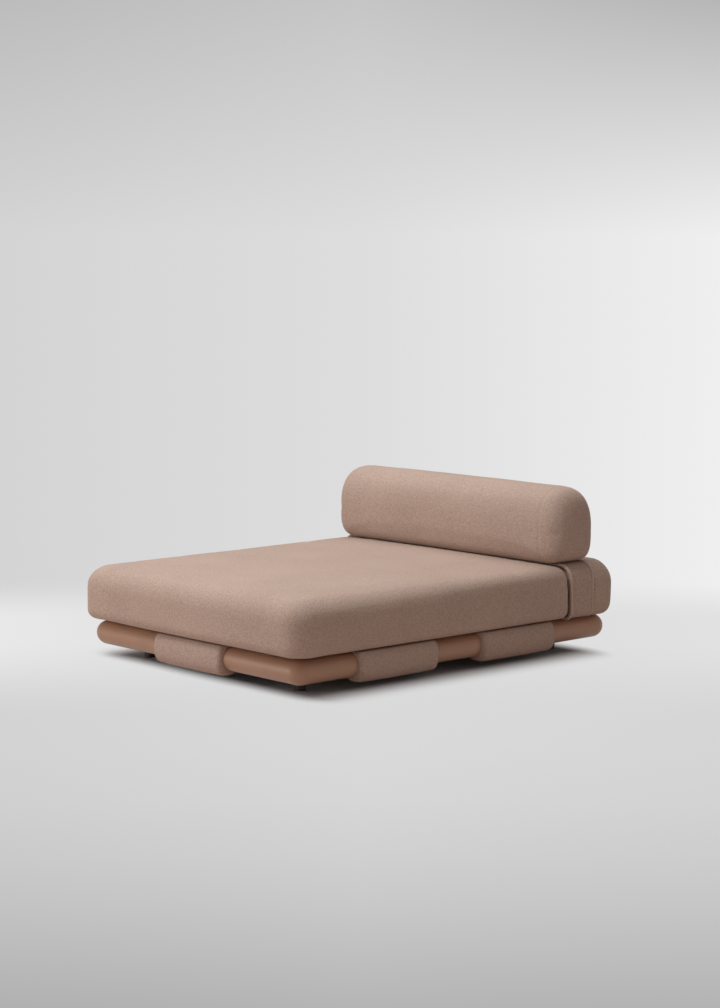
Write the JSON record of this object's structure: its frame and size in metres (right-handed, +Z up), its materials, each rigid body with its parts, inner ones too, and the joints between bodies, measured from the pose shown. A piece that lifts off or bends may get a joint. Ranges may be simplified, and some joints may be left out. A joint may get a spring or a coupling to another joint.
{
  "type": "modular daybed",
  "caption": "Low upholstered daybed: a rounded rail frame with a slatted deck, padded straps round the rails, a thick seat cushion, a banded head cushion and a loose back bolster.",
  "frame": {"origin": "floor level under the middle of the overall outline", "axes": "+Z up, +Y from the foot end towards the head end with the bolster, +X to the right of a person who stands at the foot end and looks at the head end"},
  "size_m": [1.574, 2, 0.7876],
  "materials": {
    "rail_finish": "satin brown coating",
    "bracket_steel": "zinc plated",
    "fastener_steel": "zinc plated",
    "beam_finish": "matt black powder coat",
    "slat_wood": "planed birch",
    "foot_wood": "dark stained and lacquered",
    "sleeve_brass": "turned",
    "pad_plastic": "moulded",
    "cushion_fabric": "fine looped wool, dusty pink taupe",
    "strap_fabric": "fine looped wool, dusty pink taupe",
    "zip_tape": "woven tape",
    "zip_metal": "plated"
  },
  "bodies": {
    "frame": {"rail_foot": "rail_finish", "rail_head": "rail_finish", "rail_left": "rail_finish", "rail_right": "rail_finish", "corner_bracket_1": "bracket_steel", "corner_bracket_2": "bracket_steel", "corner_bracket_3": "bracket_steel", "corner_bracket_4": "bracket_steel", "corner_bolts": "fastener_steel", "cross_beam_foot": "beam_finish", "cross_beam_mid": "beam_finish", "cross_beam_head": "beam_finish", "beam_end_plates": "beam_finish", "foot_plates": "beam_finish", "spine_beam": "beam_finish", "beam_bolts": "fastener_steel", "slat_01": "slat_wood", "slat_02": "slat_wood", "slat_03": "slat_wood", "slat_04": "slat_wood", "slat_05": "slat_wood", "slat_06": "slat_wood", "slat_07": "slat_wood", "slat_08": "slat_wood", "slat_09": "slat_wood", "slat_10": "slat_wood", "slat_screws": "fastener_steel", "foot_1": "foot_wood", "foot_2": "foot_wood", "foot_3": "foot_wood", "foot_4": "foot_wood", "foot_mid": "foot_wood", "foot_sleeves": "sleeve_brass", "foot_hangers": "fastener_steel", "strap_foot": "strap_fabric", "strap_head": "strap_fabric", "strap_right_1": "strap_fabric", "strap_right_2": "strap_fabric", "strap_left_1": "strap_fabric", "strap_left_2": "strap_fabric"},
    "seat": {"seat_cushion": "cushion_fabric"},
    "head": {"head_cushion": "cushion_fabric", "head_band": "strap_fabric", "head_zip": "zip_tape"},
    "bolster": {"back_bolster": "cushion_fabric", "bolster_zip": "zip_tape"},
    "head_pull": {"head_slider": "zip_metal"},
    "bolster_pull": {"bolster_slider": "zip_metal"},
    "pad_1": {"level_pad_1": "pad_plastic"},
    "stud_1": {"level_stud_1": "fastener_steel"},
    "pad_2": {"level_pad_2": "pad_plastic"},
    "stud_2": {"level_stud_2": "fastener_steel"},
    "pad_3": {"level_pad_3": "pad_plastic"},
    "stud_3": {"level_stud_3": "fastener_steel"},
    "pad_4": {"level_pad_4": "pad_plastic"},
    "stud_4": {"level_stud_4": "fastener_steel"},
    "pad_mid": {"level_pad_mid": "pad_plastic"},
    "stud_mid": {"level_stud_mid": "fastener_steel"}
  },
  "joints": [
    {"name": "seat_pull", "type": "slide", "parent": "frame", "child": "seat", "axis": [0, -1, 0], "range_m": [0, 0.3]},
    {"name": "head_lift", "type": "slide", "parent": "frame", "child": "head", "axis": [0, 0, 1], "range_m": [0, 0.25]},
    {"name": "bolster_lift", "type": "slide", "parent": "head", "child": "bolster", "axis": [0, 0, 1], "range_m": [0, 0.3]},
    {"name": "head_zip_pull", "type": "slide", "parent": "head", "child": "head_pull", "axis": [1, 0, 0], "range_m": [0, 0.97]},
    {"name": "bolster_zip_pull", "type": "slide", "parent": "bolster", "child": "bolster_pull", "axis": [1, 0, 0], "range_m": [0, 0.97]},
    {"name": "level_1", "type": "slide", "parent": "frame", "child": "pad_1", "axis": [0, 0, -1], "range_m": [0, 0.01]},
    {"name": "turn_1", "type": "hinge", "parent": "pad_1", "child": "stud_1", "pos_m": [-0.537, -0.771, 0.015], "axis": [0, 0, 1], "range_deg": [0, 2880]},
    {"name": "level_2", "type": "slide", "parent": "frame", "child": "pad_2", "axis": [0, 0, -1], "range_m": [0, 0.01]},
    {"name": "turn_2", "type": "hinge", "parent": "pad_2", "child": "stud_2", "pos_m": [0.537, -0.771, 0.015], "axis": [0, 0, 1], "range_deg": [0, 2880]},
    {"name": "level_3", "type": "slide", "parent": "frame", "child": "pad_3", "axis": [0, 0, -1], "range_m": [0, 0.01]},
    {"name": "turn_3", "type": "hinge", "parent": "pad_3", "child": "stud_3", "pos_m": [0.537, 0.787, 0.015], "axis": [0, 0, 1], "range_deg": [0, 2880]},
    {"name": "level_4", "type": "slide", "parent": "frame", "child": "pad_4", "axis": [0, 0, -1], "range_m": [0, 0.01]},
    {"name": "turn_4", "type": "hinge", "parent": "pad_4", "child": "stud_4", "pos_m": [-0.537, 0.787, 0.015], "axis": [0, 0, 1], "range_deg": [0, 2880]},
    {"name": "level_mid", "type": "slide", "parent": "frame", "child": "pad_mid", "axis": [0, 0, -1], "range_m": [0, 0.01]},
    {"name": "turn_mid", "type": "hinge", "parent": "pad_mid", "child": "stud_mid", "pos_m": [0, 0.008, 0.015], "axis": [0, 0, 1], "range_deg": [0, 2880]}
  ],
  "couplings": [
    {"joint": "turn_1", "follows": "level_1", "rad_per_m": 5026.5},
    {"joint": "turn_2", "follows": "level_2", "rad_per_m": 5026.5},
    {"joint": "turn_3", "follows": "level_3", "rad_per_m": 5026.5},
    {"joint": "turn_4", "follows": "level_4", "rad_per_m": 5026.5},
    {"joint": "turn_mid", "follows": "level_mid", "rad_per_m": 5026.5}
  ]
}
